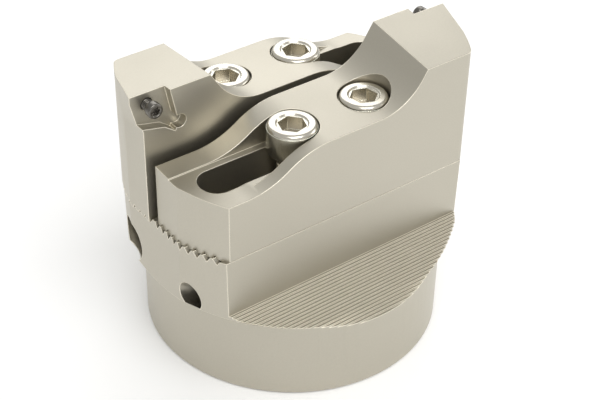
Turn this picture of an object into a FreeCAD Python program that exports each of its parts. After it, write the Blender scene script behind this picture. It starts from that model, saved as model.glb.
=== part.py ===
import FreeCAD, Part
import math
import os
import re

import Sketcher

# A twin-cutter boring head: a round body with two serrated slides. Z is up, X is the slides' direction,
# the underside of the body is at Z = 0. Holder b cuts at +X, holder a is the same part turned half a turn.
doc = FreeCAD.newDocument("boring_head")

DIMENSIONS = {
    # body
    "base_radius": 50.0,
    "waist_radius": 55.0,
    "cone_start": 28.2,
    "base_edge_break": 0.8,
    "block_width": 60.0,
    "seam_flare": 0.4,
    "end_depth": 1.6,
    "foot_height": 34.9,
    "tread_run": 1.0,
    "tread_fall": 0.42,
    "pilot_radius": 20.0,
    "pilot_depth": 18.0,
    "flange_pitch_radius": 33.35,
    "flange_hole_radius": 6.0,
    "flange_hole_depth": 20.0,
    # serrations, on both sides of the seam
    "seam_height": 55.3,
    "tooth_pitch": 3.15,
    "tooth_first": 2.0,
    "tooth_slope": 0.577,
    "body_crest": 0.7,
    "body_root": 1.3,
    "holder_tip": 0.3,
    "holder_root": 0.95,
    "seam_gap": 0.06,
    # holders
    "slide_gap": 3.0,
    "set_out": 0.8,
    "top_fall": 3.0,
    "corner_radius": 3.0,
    "tail_height": 77.1,
    "flat_height": 86.3,
    "curve_start": 39.0,
    "curve_end": 8.0,
    "ramp_start": 11.0,
    "ramp_radius": 19.0,
    "ramp_angle": 57.0,
    "plateau_height": 99.8,
    "plateau_angle": 6.6,
    "heel_line": 20.0,
    "step_height": 88.0,
    "overhang_height": 101.0,
    "overhang": 3.3,
    # insert pocket and its screw, measured back from the nose and up from the underside of the body
    "pocket_depth": 4.8,
    "pocket_wall": 9.8,
    "pocket_lean": 11.6,
    "pocket_floor_start": 7.5,
    "pocket_floor": 87.4,
    "pocket_angle": 13.6,
    "relief_low_x": 11.1,
    "relief_low_z": 84.7,
    "relief_x": 12.7,
    "relief_z": 87.7,
    "relief_radius": 2.3,
    "insert_screw_x": 3.5,
    "insert_screw_z": 95.4,
    "insert_thread_radius": 2.0,
    "insert_head_radius": 2.6,
    "insert_head_height": 2.3,
    "insert_head_stand": 4.2,
    "insert_screw_length": 10.0,
    "insert_hole_depth": 12.0,
    "lobe_circle": 1.17,
    "lobe_radius": 0.34,
    "lobe_depth": 1.4,
    # clamp screws, M10
    "screw_line": 17.2,
    "slot_screw_place": 13.3,
    "round_screw_place": 14.4,
    "head_radius": 8.0,
    "head_height": 10.0,
    "head_edge": 0.7,
    "screw_radius": 5.0,
    "socket_across": 8.0,
    "socket_depth": 5.0,
    "long_screw": 35.0,
    "short_screw": 30.0,
    "seat_height": 76.3,
    "seat_gap": 0.05,
    "seat_radius": 8.45,
    "slot_half_width": 6.0,
    "slot_spare": 7.7,
    "clear_radius": 5.5,
    "thread_gap": 0.05,
    "body_hole_floor": 39.0,
    # clamp nuts and their channels
    "travel": 20.0,
    "nut_half_width": 8.0,
    "nut_half_length": 7.0,
    "nut_floor": 33.6,
    "nut_shoulder": 45.0,
    "nut_below_seam": 1.7,
    "neck_half_width": 5.2,
    "nut_clearance": 0.3,
    "nut_hole_spare": 0.8,
    "channel_spare": 0.6,
    "entry_end": 6.0,
    # end bores and adjusting screws
    "coolant_line": 17.6,
    "coolant_height": 36.9,
    "coolant_radius": 4.0,
    "coolant_tilt": 34.0,
    "coolant_lead": 12.0,
    "coolant_depth": 25.0,
    "spindle_line": 16.0,
    "spindle_height": 38.5,
    "spindle_bore_radius": 7.5,
    "bush_length": 3.5,
    "spindle_radius": 4.0,
    "spindle_gap": 0.06,
    "spindle_inner": 8.5,
    "spindle_head_radius": 5.0,
    "spindle_head_length": 2.6,
    "spindle_socket": 4.0,
    "spindle_socket_depth": 3.0,
}

sheet = doc.addObject("Spreadsheet::Sheet", "Dims")
for row, (name, value) in enumerate(DIMENSIONS.items(), 1):
    sheet.set(f"A{row}", name)
    sheet.set(f"B{row}", str(value))
    sheet.setAlias(f"B{row}", name)
doc.recompute()

# names for what follows from the dimensions; a formula may use the names above it
DERIVED = {
    # stock and cutters reach past everything
    "cut_height": "plateau_height + 10",
    "cut_width": "waist_radius + 25",
    "end_flat": "waist_radius - end_depth",
    "nose": "end_flat + set_out",
    "nut_top": "seam_height - nut_below_seam",
    # the long slot, the nut's channel and the bush at its end are as far out as the travel asks
    "slot_end": "slot_screw_place + travel + slot_spare",
    "channel_end": "round_screw_place + travel + nut_half_length + channel_spare",
    "bush_outer": "channel_end + bush_length",
}
WORD = re.compile(r"\b(" + "|".join(DIMENSIONS) + r")\b")


def ex(text):
    """An expression with every dimension name pointed at the sheet."""
    text = str(text)
    for name, formula in reversed(DERIVED.items()):
        text = re.sub(rf"\b{name}\b", f"({formula})", text)
    return WORD.sub(r"Dims.\1", text)


def val(text):
    """The present value of such an expression, in millimetres or degrees."""
    result = sheet.evalExpression(ex(text))
    return float(getattr(result, "Value", result))


def new_body(label):
    body = doc.addObject("PartDesign::Body", label)
    body.Label = label
    return body


def origin(body, role):
    return next(item for item in body.Origin.OriginFeatures if item.Role == role)


def new_sketch(body, plane, offset="0"):
    """An empty sketch on an origin plane of the body, moved along the plane's normal by the offset."""
    sketch = body.newObject("Sketcher::SketchObject", f"{body.Name}_sketch")
    sketch.AttachmentSupport = [(origin(body, plane), "")]
    sketch.MapMode = "FlatFace"
    sketch.setExpression(".AttachmentOffset.Base.z", ex(offset))
    return sketch


def pin(sketch, geometry, point, place):
    """Holds a point of the sketch at a pair of expressions."""
    for kind, text in zip(("DistanceX", "DistanceY"), place):
        index = sketch.addConstraint(Sketcher.Constraint(kind, -1, 1, geometry, point, val(text)))
        sketch.setExpression(f"Constraints[{index}]", ex(text))


def loop(sketch, corners):
    """A closed outline. A corner is (x, y) or (x, y, radius, side): the edge that leaves it is then an arc
    of that radius with its centre on the left (side 1) or on the right (side -1) of the way ahead."""
    points = [FreeCAD.Vector(val(c[0]), val(c[1]), 0) for c in corners]
    for number, corner in enumerate(corners):
        a = points[number]
        b = points[(number + 1) % len(points)]
        if len(corner) == 2:
            index = sketch.addGeometry(Part.LineSegment(a, b), False)
            first = 1
        else:
            radius, side = val(corner[2]), corner[3]
            along = (b - a).normalize()
            left = FreeCAD.Vector(-along.y, along.x, 0)
            half = (b - a).Length / 2
            centre = (a + b) * 0.5 + left * (side * math.sqrt(radius * radius - half * half))
            ends = [math.atan2(p.y - centre.y, p.x - centre.x) for p in ((a, b) if side == 1 else (b, a))]
            if ends[1] < ends[0]:
                ends[1] += 2 * math.pi
            circle = Part.Circle(centre, FreeCAD.Vector(0, 0, 1), radius)
            index = sketch.addGeometry(Part.ArcOfCircle(circle, *ends), False)
            first = 1 if side == 1 else 2
        if number == 0:
            start = (index, first)
        else:
            sketch.addConstraint(Sketcher.Constraint("Coincident", *last, index, first))
        pin(sketch, index, first, corner[:2])
        last = (index, 3 - first)
        if len(corner) == 4:
            constraint = sketch.addConstraint(Sketcher.Constraint("Radius", index, val(corner[2])))
            sketch.setExpression(f"Constraints[{constraint}]", ex(corner[2]))
    sketch.addConstraint(Sketcher.Constraint("Coincident", *last, *start))


def ring(sketch, x, y, radius):
    centre = FreeCAD.Vector(val(x), val(y), 0)
    index = sketch.addGeometry(Part.Circle(centre, FreeCAD.Vector(0, 0, 1), val(radius)), False)
    pin(sketch, index, 3, (x, y))
    constraint = sketch.addConstraint(Sketcher.Constraint("Radius", index, val(radius)))
    sketch.setExpression(f"Constraints[{constraint}]", ex(radius))


def rectangle(sketch, x0, y0, x1, y1):
    loop(sketch, [(x0, y0), (x1, y0), (x1, y1), (x0, y1)])


def hexagon(sketch, x, y, across):
    """A hexagon with two corners on the sketch's horizontal axis."""
    corners = []
    for turn in range(6):
        cos, sin = math.cos(math.radians(60 * turn)), math.sin(math.radians(60 * turn))
        corners.append((f"{x} + ({across}) * {cos / math.sqrt(3):.9f}",
                        f"{y} + ({across}) * {sin / math.sqrt(3):.9f}"))
    loop(sketch, corners)


def feature(body, kind, sketch, length=None, reverse=False, middle=False):
    """A pad or pocket of a length, or a pocket through everything on both sides when no length is given.
    It checks that the body's volume went the right way."""
    doc.recompute()
    before = body.Shape.Volume if body.Tip else 0.0
    item = body.newObject(f"PartDesign::{kind}", f"{body.Name}_{kind.lower()}")
    item.Profile = sketch
    sketch.Visibility = False
    if length is None:
        item.Type = "ThroughAll"
        item.Midplane = True
    else:
        item.Type = "Length"
        item.setExpression("Length", ex(length))
        item.Reversed = reverse
        item.Midplane = middle
    body.Tip = item
    doc.recompute()
    change = body.Shape.Volume - before
    if (change > 0) != (kind == "Pad") or abs(change) < 1e-6:
        raise RuntimeError(f"{item.Name} changed the volume by {change}")
    return item


def revolve(body, corners, plane="XZ_Plane"):
    """A solid turned about the sketch's vertical axis."""
    sketch = new_sketch(body, plane)
    loop(sketch, corners)
    doc.recompute()
    item = body.newObject("PartDesign::Revolution", f"{body.Name}_revolution")
    item.Profile = sketch
    item.ReferenceAxis = (sketch, ["V_Axis"])
    item.Angle = 360
    doc.recompute()
    return item


def repeated(body, kind, originals, spacing=None, **properties):
    item = body.newObject(f"PartDesign::{kind}", f"{body.Name}_{kind.lower()}")
    item.Originals = originals
    for name, value in properties.items():
        setattr(item, name, value)
    if spacing:
        item.setExpression("Offset", ex(spacing))
    body.Tip = item
    doc.recompute()
    return item


def half_turn(body, originals):
    return repeated(body, "PolarPattern", originals, Axis=(origin(body, "Z_Axis"), [""]), Angle=360, Occurrences=2)


def tooth_row(body, low, low_half, high, high_half, side, places):
    """One V groove along X at the first place of a row, repeated outward on that side of the centre line."""
    first, count = places
    sketch = new_sketch(body, "YZ_Plane")
    centre = f"{side} * ({first})"
    loop(sketch, [(f"{centre} - ({low_half})", low), (f"{centre} + ({low_half})", low),
                  (f"{centre} + ({high_half})", high), (f"{centre} - ({high_half})", high)])
    groove = feature(body, "Pocket", sketch)
    repeated(body, "LinearPattern", [groove], Direction=(sketch, ["H_Axis"]), Reversed=side < 0,
             Mode="Spacing", spacing="tooth_pitch", Occurrences=count)


# ---- body: turned blank
body = new_body("boring_head_body")
crest = "seam_height + body_crest"
revolve(body, [("0", "0"), ("base_radius - base_edge_break", "0"), ("base_radius", "base_edge_break"),
               ("base_radius", "cone_start"), ("waist_radius", "cone_start + waist_radius - base_radius"),
               ("waist_radius + seam_flare", crest), ("0", crest)])

# end flats, square to the slides
sketch = new_sketch(body, "XY_Plane", "cut_height")
for side in (-1, 1):
    rectangle(sketch, f"{side} * end_flat", "-cut_width", f"{side} * cut_width", "cut_width")
feature(body, "Pocket", sketch, "cut_height - cone_start")

# side flats that stand on a slope of fine treads, milled down to the edge of the base
TREADS = 20
sketch = new_sketch(body, "YZ_Plane")
outline = [("block_width / 2", "cut_height"), ("cut_width", "cut_height"),
           ("cut_width", f"foot_height - {TREADS} * tread_fall")]
for tread in range(TREADS, 1, -1):
    riser = f"block_width / 2 + {tread - 1} * tread_run"
    outline.append((riser, f"foot_height - {tread} * tread_fall"))
    outline.append((riser, f"foot_height - {tread - 1} * tread_fall"))
outline.append(("block_width / 2", "foot_height - tread_fall"))
loop(sketch, outline)
slope = feature(body, "Pocket", sketch)
repeated(body, "Mirrored", [slope], MirrorPlane=(origin(body, "XZ_Plane"), [""]))

# serrations; the outermost strip on each side is a plain land at the seam height
TEETH = 9
last_tooth = f"tooth_first + {TEETH - 1} * tooth_pitch"
for side in (1, -1):
    tooth_row(body, "seam_height - body_root", "tooth_pitch / 4 - body_root * tooth_slope",
              crest, "tooth_pitch / 4 + body_crest * tooth_slope", side, ("tooth_first", TEETH))
sketch = new_sketch(body, "YZ_Plane")
for side in (1, -1):
    rectangle(sketch, f"{side} * ({last_tooth})", "seam_height", f"{side} * cut_width", "cut_height")
feature(body, "Pocket", sketch)

# channel for a clamp nut: neck, wide part below it and the opening the nut goes in by
inner = "entry_end - 2 * nut_half_length - 2 * nut_clearance"
neck = "(neck_half_width + nut_clearance)"
wide = "(nut_half_width + nut_clearance)"
turned = []
for x0, x1, half, top, bottom in (
        ("-channel_end", inner, neck, "cut_height", "nut_shoulder"),
        ("-channel_end", "entry_end", wide, "nut_shoulder + nut_clearance", "nut_floor - nut_clearance"),
        (inner, "entry_end", wide, "cut_height", "nut_shoulder")):
    sketch = new_sketch(body, "XY_Plane", top)
    rectangle(sketch, x0, f"screw_line - {half}", x1, f"screw_line + {half}")
    turned.append(feature(body, "Pocket", sketch, f"{top} - ({bottom})"))

# threaded hole of the screw that stays with the body
sketch = new_sketch(body, "XY_Plane", "cut_height")
ring(sketch, "slot_screw_place", "screw_line", "screw_radius + thread_gap")
turned.append(feature(body, "Pocket", sketch, "cut_height - body_hole_floor"))

# end bores: adjusting spindle, and the coolant outlet that rises outward to the cutting edge
sketch = new_sketch(body, "YZ_Plane", "-cut_width")
ring(sketch, "spindle_line", "spindle_height", "spindle_bore_radius")
turned.append(feature(body, "Pocket", sketch, "cut_width - channel_end", reverse=True))
wall = "sqrt(waist_radius^2 - coolant_line^2)"
sketch = new_sketch(body, "YZ_Plane", f"-{wall} - coolant_lead * cos(coolant_tilt * 1deg)")
sketch.setExpression(".AttachmentOffset.Base.x", ex("-coolant_line"))
sketch.setExpression(".AttachmentOffset.Base.y", ex("coolant_height + coolant_lead * sin(coolant_tilt * 1deg)"))
sketch.setExpression(".AttachmentOffset.Rotation.Axis.x", "1")
sketch.setExpression(".AttachmentOffset.Rotation.Axis.z", "0")
sketch.setExpression(".AttachmentOffset.Rotation.Angle", ex("coolant_tilt * 1deg"))
ring(sketch, "0", "0", "coolant_radius")
turned.append(feature(body, "Pocket", sketch, "coolant_lead + coolant_depth", reverse=True))
half_turn(body, turned)

# underside: pilot bore and four threaded holes for the arbor
sketch = new_sketch(body, "XY_Plane")
ring(sketch, "0", "0", "pilot_radius")
feature(body, "Pocket", sketch, "pilot_depth", reverse=True)
sketch = new_sketch(body, "XY_Plane")
for x in (-1, 1):
    for y in (-1, 1):
        ring(sketch, f"{x} * flange_pitch_radius * sqrt(0.5)", f"{y} * flange_pitch_radius * sqrt(0.5)",
             "flange_hole_radius")
feature(body, "Pocket", sketch, "flange_hole_depth", reverse=True)


def place(body, x="0", y="0", z="0", axis=(0, 0, 1), angle=0.0):
    body.Placement = FreeCAD.Placement(FreeCAD.Vector(0, 0, 0), FreeCAD.Rotation(FreeCAD.Vector(*axis), angle))
    for letter, text in zip("xyz", (x, y, z)):
        body.setExpression(f".Placement.Base.{letter}", ex(text))


# ---- insert holders
def insert_holder(label):
    """Holder b as it stands: on the -Y side, cutting end at +X."""
    body = new_body(label)
    tip = "seam_height - holder_tip + seam_gap"
    half_rise = "(flat_height - tail_height) / 2"
    half_run = "(curve_start - curve_end) / 2"
    bend = f"(({half_run})^2 + ({half_rise})^2) / (2 * {half_rise})"
    ramp_x = "ramp_start + ramp_radius * sin(ramp_angle * 1deg)"
    ramp_z = "flat_height + ramp_radius * (1 - cos(ramp_angle * 1deg))"
    sketch = new_sketch(body, "XZ_Plane", "slide_gap / 2")
    loop(sketch, [("-cut_width", f"{tip} - 5"), ("cut_width", f"{tip} - 5"), ("cut_width", "cut_height"),
                  (f"{ramp_x} + (cut_height - ({ramp_z})) / tan(ramp_angle * 1deg)", "cut_height"),
                  (ramp_x, ramp_z, "ramp_radius", -1), ("ramp_start", "flat_height"),
                  ("-curve_end", "flat_height", bend, 1),
                  (f"-curve_end - {half_run}", f"flat_height - {half_rise}", bend, -1),
                  ("-curve_start", "tail_height"), ("-cut_width", "tail_height")])
    pad = feature(body, "Pad", sketch, "(block_width - slide_gap) / 2")
    # the profile falls a little towards the outside
    pad.AlongSketchNormal = True
    pad.UseCustomVector = True
    pad.Direction = FreeCAD.Vector(0, -1, 0)
    pad.setExpression("Direction.z", ex("-tan(top_fall * 1deg)"))
    sketch = new_sketch(body, "YZ_Plane")
    rectangle(sketch, "-cut_width", f"{tip} - 20", "0", tip)
    feature(body, "Pocket", sketch)

    # plateau, falling away from the cutting edge
    sketch = new_sketch(body, "YZ_Plane")
    drop = "(block_width - slide_gap) / 2 * tan(plateau_angle * 1deg)"
    loop(sketch, [("-slide_gap / 2", "plateau_height"), ("-slide_gap / 2", "2 * cut_height"),
                  ("-block_width / 2", "2 * cut_height"), ("-block_width / 2", f"plateau_height - {drop}")])
    feature(body, "Pocket", sketch)

    # ends in plan, set out a little from the body's: flat and round at the tail, cleared behind the cutting
    # edge and rounded at the outer corner at the other end
    flat_y = "sqrt(waist_radius^2 - end_flat^2)"
    heel_x = "sqrt(waist_radius^2 - heel_line^2)"
    side_x = "sqrt(waist_radius^2 - block_width^2 / 4)"
    inner = "(waist_radius - corner_radius)"
    corner_y = "(block_width / 2 - corner_radius)"
    corner_x = f"sqrt({inner}^2 - {corner_y}^2)"
    sketch = new_sketch(body, "XY_Plane", "cut_height")
    loop(sketch, [("set_out - end_flat", "0"), ("set_out - end_flat", f"-{flat_y}", "waist_radius", 1),
                  (f"set_out - {side_x}", "-block_width / 2"), ("-cut_width - 1", "-block_width / 2"),
                  ("-cut_width - 1", "0")])
    loop(sketch, [("nose + overhang", "0"), ("nose + overhang", "-slide_gap / 2"),
                  (f"set_out + {heel_x}", "-heel_line", "waist_radius", -1),
                  (f"set_out + {corner_x} * waist_radius / {inner}", f"-{corner_y} * waist_radius / {inner}",
                   "corner_radius", -1),
                  (f"set_out + {corner_x}", "-block_width / 2"), ("cut_width + 1", "-block_width / 2"),
                  ("cut_width + 1", "0")])
    feature(body, "Pocket", sketch, "cut_height")

    # the cutting end leans out above the insert pocket's floor
    lean = "overhang / (overhang_height - step_height)"
    sketch = new_sketch(body, "XZ_Plane")
    loop(sketch, [("nose", "0"), ("nose", "step_height"),
                  (f"nose + (cut_height - step_height) * {lean}", "cut_height"),
                  ("cut_width + 1", "cut_height"), ("cut_width + 1", "0")])
    feature(body, "Pocket", sketch)

    # underside teeth: the material between them goes, and the outer strip is a plain land
    count = TEETH - 1
    sketch = new_sketch(body, "YZ_Plane")
    centre = "-(tooth_first + tooth_pitch / 2)"
    low_half = "(tooth_pitch / 4 + holder_tip * tooth_slope)"
    high_half = "(tooth_pitch / 4 - holder_root * tooth_slope)"
    high = "seam_height + holder_root + seam_gap"
    loop(sketch, [(f"{centre} - {low_half}", tip), (f"{centre} + {low_half}", tip),
                  (f"{centre} + {high_half}", high), (f"{centre} - {high_half}", high)])
    groove = feature(body, "Pocket", sketch)
    repeated(body, "LinearPattern", [groove], Direction=(sketch, ["H_Axis"]), Reversed=True,
             Mode="Spacing", spacing="tooth_pitch", Occurrences=count)
    sketch = new_sketch(body, "YZ_Plane")
    land = f"-({last_tooth}) - (tooth_pitch / 4"
    loop(sketch, [(f"{land} - holder_tip * tooth_slope)", tip), (f"{land})", "seam_height + seam_gap"),
                  ("-cut_width", "seam_height + seam_gap"), ("-cut_width", tip)])
    feature(body, "Pocket", sketch)

    # long two-level slot for the screw that stays with the body
    above = "cut_height - seat_height"
    for outline in ("box", "end"):
        sketch = new_sketch(body, "XY_Plane", "cut_height")
        if outline == "box":
            rectangle(sketch, "-cut_width", "-screw_line - seat_radius",
                      "-slot_screw_place", "-screw_line + seat_radius")
        else:
            ring(sketch, "-slot_screw_place", "-screw_line", "seat_radius")
        feature(body, "Pocket", sketch, above)
    for outline in ("box", "tail", "end"):
        sketch = new_sketch(body, "XY_Plane", "cut_height")
        if outline == "box":
            rectangle(sketch, "-slot_end", "-screw_line - slot_half_width",
                      "-slot_screw_place", "-screw_line + slot_half_width")
        else:
            ring(sketch, "-slot_end" if outline == "tail" else "-slot_screw_place", "-screw_line", "slot_half_width")
        feature(body, "Pocket", sketch, "cut_height")

    # round seat and hole for the screw that travels with the holder
    for radius, depth in (("seat_radius", above), ("clear_radius", "cut_height")):
        sketch = new_sketch(body, "XY_Plane", "cut_height")
        ring(sketch, "round_screw_place", "-screw_line", radius)
        feature(body, "Pocket", sketch, depth)

    # insert pocket with its corner relief and the screw's hole
    sketch = new_sketch(body, "XZ_Plane")
    wall = "nose - pocket_wall - (plateau_height - {}) * tan(pocket_lean * 1deg)"
    loop(sketch, [(wall.format("cut_height"), "cut_height"), (wall.format("relief_z"), "relief_z"),
                  ("nose - relief_low_x", "relief_low_z"), ("nose - pocket_floor_start", "pocket_floor"),
                  ("cut_width", "pocket_floor + (cut_width - nose + pocket_floor_start) * tan(pocket_angle * 1deg)"),
                  ("cut_width", "cut_height")])
    feature(body, "Pocket", sketch, "pocket_depth", reverse=True)
    for x, z, radius, depth in (("nose - relief_x", "relief_z", "relief_radius", "pocket_depth"),
                                ("nose - insert_screw_x", "insert_screw_z", "insert_thread_radius + thread_gap",
                                 "pocket_depth + insert_hole_depth")):
        sketch = new_sketch(body, "XZ_Plane")
        ring(sketch, x, z, radius)
        feature(body, "Pocket", sketch, depth, reverse=True)
    return body


holder_b = insert_holder("insert_holder_b")
place(holder_b)
holder_a = insert_holder("insert_holder_a")
place(holder_a, angle=180)


# ---- screws, each made with the underside of its head at the origin and its axis along Z
def cap_screw(label, length):
    body = new_body(label)
    revolve(body, [("0", f"-{length}"), ("screw_radius - head_edge", f"-{length}"),
                   ("screw_radius", f"-{length} + head_edge"), ("screw_radius", "0"), ("head_radius", "0"),
                   ("head_radius", "head_height - head_edge"), ("head_radius - head_edge", "head_height"),
                   ("0", "head_height")])
    sketch = new_sketch(body, "XY_Plane", "head_height")
    hexagon(sketch, "0", "0", "socket_across")
    feature(body, "Pocket", sketch, "socket_depth")
    return body


screws = []
for letter, side, turn in (("a", 1, 180), ("b", -1, 0)):
    for where, x, length, angle in (("slot", f"{side} * slot_screw_place", "long_screw", 12),
                                    ("round", f"{-side} * round_screw_place", "short_screw", 40)):
        screw = cap_screw(f"clamp_screw_{letter}_{where}", length)
        place(screw, x, f"{side} * screw_line", "seat_height + seat_gap", angle=angle)
        screws.append(screw)


def insert_screw(label):
    """A short screw with a six-lobed socket."""
    body = new_body(label)
    shank = "insert_screw_length"
    revolve(body, [("0", f"-{shank}"), ("insert_thread_radius", f"-{shank}"), ("insert_thread_radius", "-0.6"),
                   ("insert_head_radius", "0"), ("insert_head_radius", "insert_head_height - 0.4"),
                   ("insert_head_radius - 0.4", "insert_head_height"), ("0", "insert_head_height")])
    sketch = new_sketch(body, "XY_Plane", "insert_head_height")
    ring(sketch, "0", "0", "lobe_circle")
    feature(body, "Pocket", sketch, "lobe_depth")
    sketch = new_sketch(body, "XY_Plane", "insert_head_height")
    ring(sketch, "lobe_circle", "0", "lobe_radius")
    lobe = feature(body, "Pocket", sketch, "lobe_depth")
    repeated(body, "PolarPattern", [lobe], Axis=(origin(body, "Z_Axis"), [""]), Angle=360, Occurrences=6)
    return body


for letter, side in (("a", 1), ("b", -1)):
    screw = insert_screw(f"insert_screw_{letter}")
    head = f"{side} * (pocket_depth - insert_head_stand + insert_head_height / 2)"
    place(screw, f"{-side} * (nose - insert_screw_x)", head, "insert_screw_z", axis=(1, 0, 0), angle=90 * side)
    screws.append(screw)


# ---- clamp nuts and adjusting screws, made for holder a on the +Y side
def clamp_nut(label):
    body = new_body(label)
    for half, low, high in (("nut_half_width", "nut_floor", "nut_shoulder"),
                            ("neck_half_width", "nut_shoulder", "nut_top")):
        sketch = new_sketch(body, "XY_Plane", low)
        rectangle(sketch, "-round_screw_place - nut_half_length", f"screw_line - {half}",
                  "-round_screw_place + nut_half_length", f"screw_line + {half}")
        feature(body, "Pad", sketch, f"{high} - {low}")
    sketch = new_sketch(body, "XY_Plane", "nut_top")
    ring(sketch, "-round_screw_place", "screw_line", "screw_radius + thread_gap")
    feature(body, "Pocket", sketch, "nut_top - (seat_height - short_screw - nut_hole_spare)")
    sketch = new_sketch(body, "YZ_Plane")
    ring(sketch, "spindle_line", "spindle_height", "spindle_radius + spindle_gap")
    feature(body, "Pocket", sketch)
    return body


def adjusting_screw(label):
    """Made along Z with the bush's outer face at the origin, then laid along X."""
    body = new_body(label)
    inner = "-(bush_outer - spindle_inner)"
    revolve(body, [("0", inner), ("spindle_radius - 0.6", inner), ("spindle_radius", f"{inner} + 0.6"),
                   ("spindle_radius", "spindle_gap"), ("spindle_head_radius", "spindle_gap"),
                   ("spindle_head_radius", "spindle_gap + spindle_head_length"),
                   ("0", "spindle_gap + spindle_head_length")])
    sketch = new_sketch(body, "XY_Plane", "spindle_gap + spindle_head_length")
    hexagon(sketch, "0", "0", "spindle_socket")
    feature(body, "Pocket", sketch, "spindle_socket_depth")
    return body


def bush(label):
    body = new_body(label)
    sketch = new_sketch(body, "YZ_Plane", "-bush_outer")
    ring(sketch, "spindle_line", "spindle_height", "spindle_bore_radius")
    ring(sketch, "spindle_line", "spindle_height", "spindle_radius + spindle_gap")
    feature(body, "Pad", sketch, "bush_outer - channel_end - spindle_gap")
    return body


inner_parts = []
for letter, side in (("a", 1), ("b", -1)):
    for maker, name in ((clamp_nut, "sliding_clamp_nut"), (bush, "adjusting_screw_bush")):
        piece = maker(f"{name}_{letter}")
        place(piece, angle=0 if side == 1 else 180)
        inner_parts.append(piece)
    piece = adjusting_screw(f"adjusting_screw_{letter}")
    place(piece, f"{-side} * bush_outer", f"{side} * spindle_line", "spindle_height",
          axis=(0, 1, 0), angle=-90 * side)
    inner_parts.append(piece)

# ---- checks and files
doc.recompute()
for item in doc.Objects:
    if {"Invalid", "Error"} & set(item.State):
        raise RuntimeError(f"{item.Label}: {item.State}")
parts = [body, holder_a, holder_b] + screws + inner_parts
for piece in parts:
    if piece.Shape.isNull() or not piece.Shape.isValid() or len(piece.Shape.Solids) != 1:
        raise RuntimeError(f"{piece.Label} is not one valid solid")
os.makedirs("parts", exist_ok=True)
for piece in parts:
    piece.Shape.exportStep(f"parts/{piece.Label}.step")
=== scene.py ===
import math

import bmesh
import bpy
from mathutils import Matrix, Vector


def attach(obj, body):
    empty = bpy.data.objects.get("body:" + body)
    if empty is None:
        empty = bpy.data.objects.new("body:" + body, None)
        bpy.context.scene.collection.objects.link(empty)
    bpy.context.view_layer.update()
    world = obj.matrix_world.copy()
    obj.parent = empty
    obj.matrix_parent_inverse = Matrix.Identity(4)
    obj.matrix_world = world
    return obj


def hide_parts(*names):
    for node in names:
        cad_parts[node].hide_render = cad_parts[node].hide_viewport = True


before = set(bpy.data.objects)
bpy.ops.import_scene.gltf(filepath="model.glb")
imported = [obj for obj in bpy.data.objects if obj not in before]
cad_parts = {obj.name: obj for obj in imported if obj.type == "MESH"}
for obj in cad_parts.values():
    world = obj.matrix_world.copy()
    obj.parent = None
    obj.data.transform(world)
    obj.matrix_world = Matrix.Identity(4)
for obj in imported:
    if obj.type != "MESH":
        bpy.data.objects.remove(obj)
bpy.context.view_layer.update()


# ---- Head body
# One steel body turned from bar, 100 mm across at the base and 110 mm at the waist, then milled to a
# 60 mm block with serrated slides and nickel plated. The side flats run out on a slope of fine treads,
# one for each pass of the cutter.
MM = 0.001
FINE = math.radians(2.0)


def placed(name, mesh):
    """A new object in the scene for a mesh that already lies where it belongs."""
    piece = bpy.data.objects.new(name, mesh)
    bpy.context.scene.collection.objects.link(piece)
    return piece


def arc(start, end, radius, side):
    """Points of an arc from start up to, but not including, end. Its centre is on the left (side 1) or on
    the right (side -1) of the way ahead."""
    a, b = Vector(start), Vector(end)
    along = (b - a).normalized()
    half = (b - a).length / 2
    centre = (a + b) / 2 + Vector((-along.y, along.x)) * side * math.sqrt(radius * radius - half * half)
    first = math.atan2(a.y - centre.y, a.x - centre.x)
    sweep = 2 * math.asin(half / radius) * side
    steps = max(2, math.ceil(abs(sweep) / FINE))
    return [(centre.x + radius * math.cos(first + sweep * k / steps),
             centre.y + radius * math.sin(first + sweep * k / steps)) for k in range(steps)]


def circle(x, y, radius, steps=96):
    return [(x + radius * math.cos(2 * math.pi * k / steps), y + radius * math.sin(2 * math.pi * k / steps))
            for k in range(steps)]


AXES = {"XY": ((1, 0, 0), (0, 1, 0), (0, 0, 1)), "XZ": ((1, 0, 0), (0, 0, 1), (0, 1, 0)),
        "YZ": ((0, 1, 0), (0, 0, 1), (1, 0, 0))}


def prism(outline, plane, low, high):
    """A closed prism from an outline in millimetres, between two heights along the plane's normal."""
    across, up, normal = (Vector(v) for v in AXES[plane])
    mesh = bpy.data.meshes.new("prism")
    bm = bmesh.new()
    ends = [[bm.verts.new((across * x + up * y + normal * level) * MM) for x, y in outline]
            for level in (low, high)]
    for ring in ends:
        bm.faces.new(ring)
    for k in range(len(outline)):
        n = (k + 1) % len(outline)
        bm.faces.new((ends[0][k], ends[0][n], ends[1][n], ends[1][k]))
    bmesh.ops.recalc_face_normals(bm, faces=bm.faces)
    bm.to_mesh(mesh)
    bm.free()
    return placed("prism", mesh)


def slab(x0, x1, y0, y1, z0, z1):
    return prism([(x0, y0), (x1, y0), (x1, y1), (x0, y1)], "XY", z0, z1)


def settled(piece):
    """Applies every modifier of the piece to its mesh."""
    graph = bpy.context.evaluated_depsgraph_get()
    mesh = bpy.data.meshes.new_from_object(piece.evaluated_get(graph))
    piece.modifiers.clear()
    piece.data = mesh
    return piece


def milled(piece, *tools):
    """Cuts each tool out of the piece, one after the other, and throws the tools away."""
    for tool in tools:
        change = piece.modifiers.new("cut", "BOOLEAN")
        change.object = tool
        change.solver = "EXACT"
        settled(piece)
        bpy.data.objects.remove(tool)
    return piece


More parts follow.
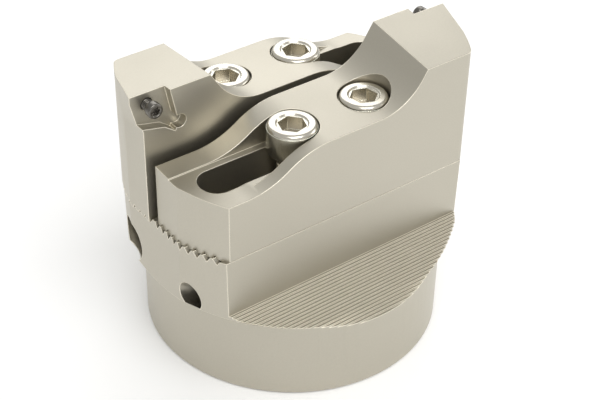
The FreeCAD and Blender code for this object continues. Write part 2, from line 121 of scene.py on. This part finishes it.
def turned(profile, steps=240):
    """A closed solid of revolution about Z from a profile of (radius, height) in millimetres."""
    mesh = bpy.data.meshes.new("turned")
    bm = bmesh.new()
    rings = []
    for radius, height in profile:
        if radius < 1e-6:
            rings.append([bm.verts.new((0, 0, height * MM))])
        else:
            rings.append([bm.verts.new((x * MM, y * MM, height * MM))
                          for x, y in circle(0, 0, radius, steps)])
    for low, high in zip(rings, rings[1:]):
        for k in range(steps):
            n = (k + 1) % steps
            corner = [low[k % len(low)], low[n % len(low)], high[n % len(high)], high[k % len(high)]]
            bm.faces.new(list(dict.fromkeys(corner)))
    bmesh.ops.recalc_face_normals(bm, faces=bm.faces)
    bm.to_mesh(mesh)
    bm.free()
    return placed("turned", mesh)


def nodes_of(name, numbers):
    """A node tree with named number inputs and one geometry output, and its input and output nodes."""
    tree = bpy.data.node_groups.new(name, "GeometryNodeTree")
    for label, value in numbers.items():
        kind = "NodeSocketInt" if isinstance(value, int) else "NodeSocketFloat"
        tree.interface.new_socket(label, in_out="INPUT", socket_type=kind).default_value = value
    tree.interface.new_socket("Geometry", in_out="OUTPUT", socket_type="NodeSocketGeometry")
    return tree, tree.nodes.new("NodeGroupInput"), tree.nodes.new("NodeGroupOutput")


def made_by(tree):
    """The plain mesh object that a node tree makes."""
    piece = placed(tree.name, bpy.data.meshes.new(tree.name))
    piece.modifiers.new("made", "NODES").node_group = tree
    settled(piece)
    bpy.data.node_groups.remove(tree)
    return piece


def grooves(pitch, count, section, side):
    """A row of V cutters along X, spaced across the slide by a node tree: one groove for each serration."""
    groove = prism(section, "YZ", -70, 70)
    tree, given, out = nodes_of("serration_row", {"Pitch": side * pitch * MM, "Grooves": count})
    add, link = tree.nodes.new, tree.links.new
    step = add("ShaderNodeCombineXYZ")
    line = add("GeometryNodeMeshLine")
    shape = add("GeometryNodeObjectInfo")
    spread = add("GeometryNodeInstanceOnPoints")
    real = add("GeometryNodeRealizeInstances")
    shape.inputs["Object"].default_value = groove
    link(given.outputs["Pitch"], step.inputs["Y"])
    link(step.outputs[0], line.inputs["Offset"])
    link(given.outputs["Grooves"], line.inputs["Count"])
    link(line.outputs[0], spread.inputs["Points"])
    link(shape.outputs["Geometry"], spread.inputs["Instance"])
    link(spread.outputs[0], real.inputs[0])
    link(real.outputs[0], out.inputs[0])
    row = made_by(tree)
    bpy.data.objects.remove(groove)
    return row


def moved(piece, matrix):
    """Moves the mesh itself, so that the object stays at the origin."""
    piece.data.transform(matrix)
    return piece


HALF_TURN = Matrix.Rotation(math.pi, 4, "Z")
BASE, WAIST, BLOCK, END = 50.0, 55.0, 30.0, 53.4
SEAM, FOOT = 55.3, 34.9
PITCH, FIRST_GROOVE, TEETH, SLOPE = 3.15, 2.0, 9, 0.577
CREST, ROOT = 0.7, 1.3
TREAD_RUN, TREAD_FALL, TREAD_DIP, TREADS = 1.0, 0.42, 0.22, 20
SCREW_LINE, SLOT_SCREW, ROUND_SCREW = 17.2, 13.3, 14.4
SPINDLE_LINE, SPINDLE_HEIGHT, CHANNEL_END = 16.0, 38.5, 42.0
COOLANT_TILT = math.radians(34)

head = turned([(0, 0), (BASE - 0.8, 0), (BASE, 0.8), (BASE, 28.2), (WAIST, 33.2), (55.4, SEAM + CREST),
               (0, SEAM + CREST)])
treads = [(BLOCK, 110), (80, 110), (80, FOOT - TREADS * TREAD_FALL)]
for k in range(TREADS, 1, -1):
    treads.append((BLOCK + (k - 1) * TREAD_RUN, FOOT - k * TREAD_FALL - TREAD_DIP))
    treads.append((BLOCK + (k - 1) * TREAD_RUN, FOOT - (k - 1) * TREAD_FALL))
treads.append((BLOCK, FOOT - TREAD_FALL - TREAD_DIP))
for side in (-1, 1):
    milled(head, slab(*sorted((side * END, side * 70)), -80, 80, 28.2, 70),
           prism([(side * y, z) for y, z in treads], "YZ", -80, 80),
           slab(-80, 80, *sorted((side * (FIRST_GROOVE + (TEETH - 1) * PITCH), side * 80)), SEAM, 80))
    first = side * FIRST_GROOVE
    low, high = PITCH / 4 - ROOT * SLOPE, PITCH / 4 + (CREST + 0.5) * SLOPE
    top = SEAM + CREST + 0.5
    section = [(first - low, SEAM - ROOT), (first + low, SEAM - ROOT), (first + high, top), (first - high, top)]
    milled(head, grooves(PITCH, TEETH, section, side))


def body_cutters():
    """Under holder a: the nut's channel and entry, the slot screw's hole, the spindle bore, and the coolant
    hole that slants up out of the end."""
    aim = Matrix.Translation(Vector((-math.sqrt(WAIST ** 2 - 17.6 ** 2), -17.6, 36.9)) * MM)
    aim = aim @ Matrix.Rotation(COOLANT_TILT - math.pi / 2, 4, "Y")
    return [slab(-CHANNEL_END, -8.6, 11.7, 22.7, 45, 110), slab(-CHANNEL_END, 6, 8.9, 25.5, 33.3, 45.3),
            slab(-8.6, 6, 8.9, 25.5, 45, 110), prism(circle(SLOT_SCREW, SCREW_LINE, 5.05), "XY", 39, 110),
            prism(circle(SPINDLE_LINE, SPINDLE_HEIGHT, 7.5), "YZ", -80, -CHANNEL_END),
            moved(prism(circle(0, 0, 4), "XY", -25, 12), aim)]


milled(head, *body_cutters(), *[moved(tool, HALF_TURN) for tool in body_cutters()])
milled(head, prism(circle(0, 0, 20, 180), "XY", -5, 18))
for x in (-1, 1):
    for y in (-1, 1):
        milled(head, prism(circle(x * 33.35 / math.sqrt(2), y * 33.35 / math.sqrt(2), 6, 64), "XY", -5, 20))
head.name = "head_body"


def linear(hexa):
    """An sRGB hex colour as linear RGBA."""
    parts = [int(hexa[k:k + 2], 16) / 255 for k in (1, 3, 5)]
    return [c / 12.92 if c <= 0.04045 else ((c + 0.055) / 1.055) ** 2.4 for c in parts] + [1.0]


def plated(name, colour, roughness, grain, edge=0.42, patch=0.04, bump=0.02):
    """A metal whose roughness and colour vary softly. grain is the size of its tool marks and edge that of
    its broken edges, both in millimetres. A painted highlight brightens the colour along the edges."""
    material = bpy.data.materials.new(name)
    material.use_nodes = True
    tree = material.node_tree
    shader = tree.nodes["Principled BSDF"]
    shader.inputs["Metallic"].default_value = 1.0
    add, link = tree.nodes.new, tree.links.new
    where = add("ShaderNodeTexCoord")
    marks, cloud = add("ShaderNodeTexNoise"), add("ShaderNodeTexNoise")
    marks.inputs["Scale"].default_value = 1 / (grain * MM)
    marks.inputs["Detail"].default_value = 3
    cloud.inputs["Scale"].default_value = 1 / (18 * MM)
    cloud.inputs["Detail"].default_value = 2
    link(where.outputs["Object"], marks.inputs["Vector"])
    link(where.outputs["Object"], cloud.inputs["Vector"])
    rough = add("ShaderNodeMapRange")
    rough.inputs["To Min"].default_value = roughness - patch
    rough.inputs["To Max"].default_value = roughness + patch
    link(cloud.outputs["Fac"], rough.inputs["Value"])
    link(rough.outputs[0], shader.inputs["Roughness"])
    tone = add("ShaderNodeMix")
    tone.data_type = "RGBA"
    base = linear(colour)
    tone.inputs["A"].default_value = [c * 0.94 for c in base[:3]] + [1]
    tone.inputs["B"].default_value = [min(1, c * 1.05) for c in base[:3]] + [1]
    link(marks.outputs["Fac"], tone.inputs["Factor"])
    # Painted highlight: where the Bevel node's rounded normal leaves the true normal, on convex and concave
    # edges alike, the colour is mixed towards a much brighter tone.
    breaks, true, near = add("ShaderNodeBevel"), add("ShaderNodeNewGeometry"), add("ShaderNodeVectorMath")
    breaks.samples = 8
    breaks.inputs["Radius"].default_value = edge * MM
    near.operation = "DOT_PRODUCT"
    link(breaks.outputs[0], near.inputs[0])
    link(true.outputs["Normal"], near.inputs[1])
    painted_edge_highlight_mask = add("ShaderNodeMapRange")
    painted_edge_highlight_mask.inputs["From Min"].default_value = 0.995
    painted_edge_highlight_mask.inputs["From Max"].default_value = 0.93
    link(near.outputs["Value"], painted_edge_highlight_mask.inputs["Value"])
    painted_edge_highlight = add("ShaderNodeMix")
    painted_edge_highlight.data_type = "RGBA"
    painted_edge_highlight.inputs["B"].default_value = [min(1, c * 1.75) for c in base[:3]] + [1]
    link(painted_edge_highlight_mask.outputs[0], painted_edge_highlight.inputs["Factor"])
    link(tone.outputs["Result"], painted_edge_highlight.inputs["A"])
    link(painted_edge_highlight.outputs["Result"], shader.inputs["Base Color"])
    relief = add("ShaderNodeBump")
    relief.inputs["Strength"].default_value = bump
    relief.inputs["Distance"].default_value = 0.2 * MM
    link(marks.outputs["Fac"], relief.inputs["Height"])
    link(breaks.outputs[0], relief.inputs["Normal"])
    link(relief.outputs[0], shader.inputs["Normal"])
    return material


def cleaned(piece):
    """Merged and dissolved to its real faces, smooth where it is round and sharp at its edges."""
    bm = bmesh.new()
    bm.from_mesh(piece.data)
    bmesh.ops.remove_doubles(bm, verts=bm.verts, dist=0.002 * MM)
    bmesh.ops.dissolve_limit(bm, angle_limit=math.radians(0.5), verts=bm.verts, edges=bm.edges)
    bm.to_mesh(piece.data)
    bm.free()
    piece.data.shade_smooth()
    piece.data.set_sharp_from_angle(angle=math.radians(28))
    return piece


def dressed(piece, node, body, material):
    """The piece takes the place of a CAD node, moves with its body and shows one material."""
    piece.data.materials.clear()
    piece.data.materials.append(material)
    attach(piece, body)
    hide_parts(node)


satin_nickel = plated("nickel-plated steel, satin", "#bdb8ab", 0.42, 0.5)
cleaned(head)
dressed(head, "boring_head_body", "head", satin_nickel)


# ---- Insert holders
# Two like steel holders that face opposite ways, each milled in profile from one block, with a two-level
# slot and a round seat for its clamp screws and a pocket for the cutting insert. The teeth underneath
# lock in the body's serrations. Nickel plated like the body.
INNER, SET_OUT = -1.5, 0.8
TAIL, FLAT, PLATEAU, SEAT = 77.1, 86.3, 99.8, 76.3
INSERT_X, INSERT_Z, POCKET = 50.7, 95.4, 4.8


def fall(degrees):
    return math.tan(math.radians(degrees))


def holder_blank():
    """Holder b, on the -Y side and cutting at +X, milled to its outer shape."""
    rise, run = (FLAT - TAIL) / 2, 15.5
    bend = (run * run + rise * rise) / (2 * rise)
    ramp = math.radians(57)
    ramp_x, ramp_z = 11 + 19 * math.sin(ramp), FLAT + 19 * (1 - math.cos(ramp))
    tip = SEAM - 0.3 + 0.06
    outline = [(-80, tip - 5), (80, tip - 5), (80, 110), (ramp_x + (110 - ramp_z) / math.tan(ramp), 110)]
    outline += arc((ramp_x, ramp_z), (11, FLAT), 19, -1) + [(11, FLAT)]
    outline += arc((-8, FLAT), (-23.5, FLAT - rise), bend, 1)
    outline += arc((-23.5, FLAT - rise), (-39, TAIL), bend, -1)
    outline += [(-39, TAIL), (-80, TAIL)]
    lean_out = Matrix.Identity(4)
    lean_out[2][1], lean_out[2][3] = fall(3), -INNER * MM * fall(3)
    blank = moved(prism(outline, "XZ", -BLOCK, INNER), lean_out)
    flat_y, side_x, heel_x = (math.sqrt(WAIST ** 2 - v ** 2) for v in (END, BLOCK, 20))
    tail = arc((SET_OUT - END, -flat_y), (SET_OUT - side_x, -BLOCK), WAIST, 1)
    tail += [(SET_OUT - side_x, -BLOCK), (SET_OUT - side_x, -40), (-90, -40), (-90, 5), (SET_OUT - END, 5)]
    round_y = BLOCK - 3
    round_x, grow = math.sqrt((WAIST - 3) ** 2 - round_y ** 2), WAIST / (WAIST - 3)
    nose = [(57.5, 5), (57.5, INNER)]
    nose += arc((SET_OUT + heel_x, -20), (SET_OUT + round_x * grow, -round_y * grow), WAIST, -1)
    nose += arc((SET_OUT + round_x * grow, -round_y * grow), (SET_OUT + round_x, -BLOCK), 3, -1)
    nose += [(SET_OUT + round_x, -BLOCK), (SET_OUT + round_x, -40), (90, -40), (90, 5)]
    heel, over = END + SET_OUT, (57.5 - END - SET_OUT) / 13
    top = PLATEAU - (40 + INNER) * fall(6.6)
    milled(blank, slab(-90, 90, -40, 5, 40, tip), prism(tail, "XY", 0, 130), prism(nose, "XY", 0, 130),
           prism([(5, PLATEAU), (5, 220), (-40, 220), (-40, top), (INNER, PLATEAU)], "YZ", -90, 90),
           prism([(heel, 0), (heel, 88), (heel + 32 * over, 120), (100, 120), (100, 0)], "XZ", -40, 10))
    centre = -(FIRST_GROOVE + PITCH / 2)
    low, high, deep = PITCH / 4 + 0.3 * SLOPE, PITCH / 4 - 0.95 * SLOPE, SEAM + 1.01
    land = -(FIRST_GROOVE + (TEETH - 1) * PITCH) - PITCH / 4
    section = [(centre - low, tip), (centre + low, tip), (centre + high, deep), (centre - high, deep)]
    strip = [(land - 0.3 * SLOPE, tip - 0.001), (land, SEAM + 0.06), (-40, SEAM + 0.06), (-40, tip - 0.001)]
    return milled(blank, grooves(PITCH, TEETH - 1, section, -1), prism(strip, "YZ", -90, 90))


def keyhole(x, far, radius, low):
    """A slot with a round end at x that runs out to far, round there too if that lies inside the holder."""
    turn = [math.pi * k / 48 for k in range(49)]
    shape = [(x + radius * math.sin(a), -SCREW_LINE - radius * math.cos(a)) for a in turn]
    bulge = radius if far > -60 else 0
    shape += [(far - bulge * math.sin(a), -SCREW_LINE + radius * math.cos(a)) for a in turn]
    return prism(list(dict.fromkeys(shape)), "XY", low, 120)


def insert_pocket():
    wall = [(44.4 - (PLATEAU - z) * fall(11.6), z) for z in (110, 87.7)]
    floor_end = 87.4 + (80 - 46.7) * fall(13.6)
    return (prism(wall + [(43.1, 84.7), (46.7, 87.4), (80, floor_end), (80, 110)], "XZ", -POCKET, 5),
            prism(circle(41.5, 87.7, 2.3, 64), "XZ", -POCKET, 5),
            prism(circle(INSERT_X, INSERT_Z, 2.05, 48), "XZ", -POCKET - 12, 5))


holder_b = milled(holder_blank(), keyhole(-SLOT_SCREW, -80, 8.45, SEAT), keyhole(-SLOT_SCREW, -41, 6, 40),
                  prism(circle(ROUND_SCREW, -SCREW_LINE, 8.45, 120), "XY", SEAT, 120),
                  prism(circle(ROUND_SCREW, -SCREW_LINE, 5.5), "XY", 40, 120), *insert_pocket())
holder_a = moved(placed("insert_holder_a_milled", holder_b.data.copy()), HALF_TURN)
holder_b.name = "insert_holder_b_milled"
for piece, letter in ((holder_a, "a"), (holder_b, "b")):
    cleaned(piece)
    dressed(piece, f"insert_holder_{letter}", f"holder_{letter}", satin_nickel)


# ---- Clamp screws
# Four M10 cap screws of bright steel: a knurled side, a rounded polished rim, a flat turned ring and a
# countersunk mouth to the hexagon socket. The thread is a rolled helix on the shank.
def knurl(count, radius, low, high):
    """Straight ribs all round a cylinder, from low to high."""
    sizes = {"Ribs": count, "Radius": radius * MM, "Length": (high - low) * MM, "Middle": (low + high) / 2 * MM}
    tree, given, out = nodes_of("knurl_ribs", sizes)
    add, link = tree.nodes.new, tree.links.new
    ring, rib = add("GeometryNodeMeshCircle"), add("GeometryNodeMeshCylinder")
    spread, real = add("GeometryNodeInstanceOnPoints"), add("GeometryNodeRealizeInstances")
    lift, level = add("GeometryNodeTransform"), add("ShaderNodeCombineXYZ")
    rib.inputs["Vertices"].default_value = 6
    rib.inputs["Radius"].default_value = 0.26 * MM
    link(given.outputs["Ribs"], ring.inputs["Vertices"])
    link(given.outputs["Radius"], ring.inputs["Radius"])
    link(given.outputs["Length"], rib.inputs["Depth"])
    link(given.outputs["Middle"], level.inputs["Z"])
    link(ring.outputs[0], spread.inputs["Points"])
    link(rib.outputs[0], spread.inputs["Instance"])
    link(spread.outputs[0], real.inputs[0])
    link(real.outputs[0], lift.inputs["Geometry"])
    link(level.outputs[0], lift.inputs["Translation"])
    link(lift.outputs[0], out.inputs[0])
    return made_by(tree)


def thread(radius, pitch, turns, low):
    """A ridge wound round a shank, from the height low upwards."""
    sizes = {"Pitch": pitch * MM, "Turns": float(turns), "Radius": radius * MM, "Low": low * MM}
    tree, given, out = nodes_of("screw_thread", sizes)
    add, link = tree.nodes.new, tree.links.new
    helix, section = add("GeometryNodeCurveSpiral"), add("GeometryNodeCurvePrimitiveCircle")
    sweep = add("GeometryNodeCurveToMesh")
    height, size, level = add("ShaderNodeMath"), add("ShaderNodeMath"), add("ShaderNodeCombineXYZ")
    lift = add("GeometryNodeTransform")
    height.operation = size.operation = "MULTIPLY"
    size.inputs[1].default_value = 0.42
    helix.inputs["Resolution"].default_value = 40
    section.inputs["Resolution"].default_value = 4
    link(given.outputs["Pitch"], height.inputs[0])
    link(given.outputs["Turns"], height.inputs[1])
    link(given.outputs["Turns"], helix.inputs["Rotations"])
    link(height.outputs[0], helix.inputs["Height"])
    link(given.outputs["Radius"], helix.inputs["Start Radius"])
    link(given.outputs["Radius"], helix.inputs["End Radius"])
    link(given.outputs["Pitch"], size.inputs[0])
    link(size.outputs[0], section.inputs["Radius"])
    link(helix.outputs[0], sweep.inputs["Curve"])
    link(section.outputs[0], sweep.inputs["Profile Curve"])
    link(given.outputs["Low"], level.inputs["Z"])
    link(sweep.outputs[0], lift.inputs["Geometry"])
    link(level.outputs[0], lift.inputs["Translation"])
    link(lift.outputs[0], out.inputs[0])
    return made_by(tree)


def joined(*pieces):
    """One object from several, made in the first one, with its sharp edges kept."""
    first = pieces[0]
    with bpy.context.temp_override(active_object=first, object=first, selected_editable_objects=list(pieces)):
        bpy.ops.object.join()
    return first


def hexagon(across):
    """The socket's outline by its width across the flats, with a corner on X."""
    return circle(0, 0, across / math.sqrt(3), 6)


def cap_screw(length):
    """An M10 cap screw with the underside of its head at the origin."""
    core = 4.35
    rim = arc((7.85, 8.7), (6.6, 9.95), 1.25, 1)
    shank = [(0, -length), (core - 0.7, -length), (core, 0.7 - length), (core, -3), (4.95, -2.4), (4.95, 0)]
    mouth = [(6.6, 9.95), (5.25, 9.95), (4.75, 9.45), (0, 9.45)]
    screw = turned(shank + [(7.6, 0), (7.85, 0.3)] + rim + mouth, 144)
    milled(screw, prism(hexagon(8), "XY", 5, 12))
    ridge = thread(core, 1.5, (length - 4.5) / 1.5, 1 - length)
    return joined(cleaned(screw), knurl(96, 7.78, 0.5, 8.6), ridge)


bright_steel = plated("bright steel, turned", "#cdc8bc", 0.24, 0.3, 0.15, 0.03)
for length, kind, place in ((35, "slot", SLOT_SCREW), (30, "round", -ROUND_SCREW)):
    screw = cap_screw(length)
    for letter, side in (("a", 1), ("b", -1)):
        piece = placed(f"cap_screw_{letter}_{kind}", screw.data.copy())
        spin = Matrix.Rotation(math.radians(12 if kind == "slot" else 40), 4, "Z")
        moved(piece, Matrix.Translation(Vector((side * place, side * SCREW_LINE, SEAT + 0.05)) * MM) @ spin)
        dressed(piece, f"clamp_screw_{letter}_{kind}", f"{kind}_screw_{letter}", bright_steel)
    bpy.data.objects.remove(screw)


# ---- Insert screws
# Two small six-lobed screws of dark steel, screwed part of the way into the empty insert pockets, so
# that their threads show between the head and the pocket's wall.
def insert_screw():
    """Its axis along Z with the foot of the head at the origin."""
    rim = arc((2.55, 1.75), (2.0, 2.3), 0.55, 1)
    shank = [(0, -10), (1.4, -10), (1.65, -9.7), (1.65, -0.7), (2.55, 0.1)]
    screw = turned(shank + rim + [(2.0, 2.3), (1.75, 2.3), (1.6, 2.15), (0, 2.15)], 96)
    star = [((1.32 + 0.22 * math.cos(6 * a)) * math.cos(a), (1.32 + 0.22 * math.cos(6 * a)) * math.sin(a))
            for a in (math.pi * k / 48 for k in range(96))]
    milled(screw, prism(star, "XY", 0.9, 4))
    return joined(cleaned(screw), thread(1.66, 0.7, 12.5, -9.7))


dark_steel = plated("dark steel, oiled", "#6f6c67", 0.24, 0.25, 0.05, 0.03)
screw = insert_screw()
for letter, side in (("a", 1), ("b", -1)):
    piece = placed(f"lobed_screw_{letter}", screw.data.copy())
    at = Vector((-side * INSERT_X, side * (POCKET - 4.2 + 1.15), INSERT_Z)) * MM
    moved(piece, Matrix.Translation(at) @ Matrix.Rotation(side * math.pi / 2, 4, "X"))
    dressed(piece, f"insert_screw_{letter}", f"insert_screw_{letter}", dark_steel)
bpy.data.objects.remove(screw)


# ---- Clamp nuts
# A T-shaped nut slides in the channel under each holder. The round seat's screw goes down into it, and
# the adjusting screw goes through its wide foot.
blackened = plated("blackened steel", "#3c3a37", 0.38, 0.4)
for letter, turn in (("a", Matrix.Identity(4)), ("b", HALF_TURN)):
    right = [(8, 33.6), (8, 45), (5.2, 45), (5.2, 53.6)]
    outline = [(SCREW_LINE + y, z) for y, z in right] + [(SCREW_LINE - y, z) for y, z in reversed(right)]
    tee = prism(outline, "YZ", -ROUND_SCREW - 7, -ROUND_SCREW + 7)
    milled(tee, prism(circle(-ROUND_SCREW, SCREW_LINE, 5.05), "XY", 45.5, 60),
           prism(circle(SPINDLE_LINE, SPINDLE_HEIGHT, 4.06), "YZ", -40, 10))
    cleaned(moved(tee, turn))
    tee.name = f"tee_nut_{letter}"
    dressed(tee, f"sliding_clamp_nut_{letter}", f"holder_{letter}", blackened)


# ---- Adjusting screws
# A fine-pitch spindle with a hexagon socket turns in a bush pressed into each end bore and drives the
# clamp nut along its channel.
bush_outer = 45.5
for letter, side in (("a", 1), ("b", -1)):
    ring = turned([(0, -3.44), (7.5, -3.44), (7.5, -0.4), (7.1, 0), (5.6, 0), (5.2, -0.3), (0, -0.3)], 96)
    milled(ring, prism(circle(0, 0, 4.06), "XY", -6, 3))
    stem = [(0, -37), (3.4, -37), (4, -36.4), (4, 0.06)]
    spindle = turned(stem + [(5, 0.06), (5, 2.26), (4.6, 2.66), (2.9, 2.66), (2.55, 2.3), (0, 2.3)], 96)
    milled(spindle, prism(hexagon(4), "XY", -0.34, 5))
    at = Matrix.Translation(Vector((-side * bush_outer, side * SPINDLE_LINE, SPINDLE_HEIGHT)) * MM)
    at = at @ Matrix.Rotation(-side * math.pi / 2, 4, "Y")
    ring.name = f"bush_steel_adjusting_screw_bush_{letter}"
    spindle.name = f"screw_steel_adjusting_screw_{letter}"
    for piece in (ring, spindle):
        cleaned(moved(piece, at))
    dressed(ring, f"adjusting_screw_bush_{letter}", "head", satin_nickel)
    dressed(spindle, f"adjusting_screw_{letter}", f"adjusting_screw_{letter}", bright_steel)


# ---- Stage
# A pale floor, a soft light from each side and the camera.
bpy.ops.mesh.primitive_plane_add(size=8, location=(0, 0, 0))
floor = bpy.context.object
floor.name = "floor"
paper = bpy.data.materials.new("pale paper, matt")
paper.use_nodes = True
paper.node_tree.nodes["Principled BSDF"].inputs["Base Color"].default_value = linear("#ffffff")
paper.node_tree.nodes["Principled BSDF"].inputs["Roughness"].default_value = 0.9
floor.data.materials.append(paper)

world = bpy.data.worlds.new("studio")
bpy.context.scene.world = world
world.use_nodes = True
world.node_tree.nodes["Background"].inputs["Color"].default_value = linear("#f4f4f2")
world.node_tree.nodes["Background"].inputs["Strength"].default_value = 0.7


def softbox(name, place, size, power, target=(0, 0, 0.05)):
    lamp = bpy.data.lights.new(name, "AREA")
    lamp.shape = "RECTANGLE"
    lamp.size, lamp.size_y = size
    lamp.energy = power
    thing = bpy.data.objects.new(name, lamp)
    bpy.context.scene.collection.objects.link(thing)
    thing.location = place
    thing.rotation_euler = (Vector(target) - Vector(place)).to_track_quat("-Z", "Y").to_euler()


softbox("key_light", (-0.15, -0.55, 0.85), (0.7, 0.7), 5)
softbox("right_light", (0.9, -0.35, 0.35), (0.5, 0.6), 2)
softbox("back_light", (0.45, 0.75, 0.62), (0.9, 0.5), 2.6)

eye = bpy.data.cameras.new("camera")
eye.sensor_width = 36
eye.lens = 83.713
eye.clip_start, eye.clip_end = 0.01, 10
camera = bpy.data.objects.new("camera", eye)
right, up, ahead = (0.80303, -0.59574, 0.01533), (0.34824, 0.48997, 0.79916), (0.48360, 0.63641, -0.60093)
turn = Matrix((right, up, tuple(-v for v in ahead))).transposed().to_4x4()
camera.matrix_world = Matrix.Translation((-0.22338, -0.29826, 0.32095)) @ turn
bpy.context.scene.collection.objects.link(camera)
bpy.context.scene.camera = camera
bpy.context.scene.view_settings.view_transform = "Standard"
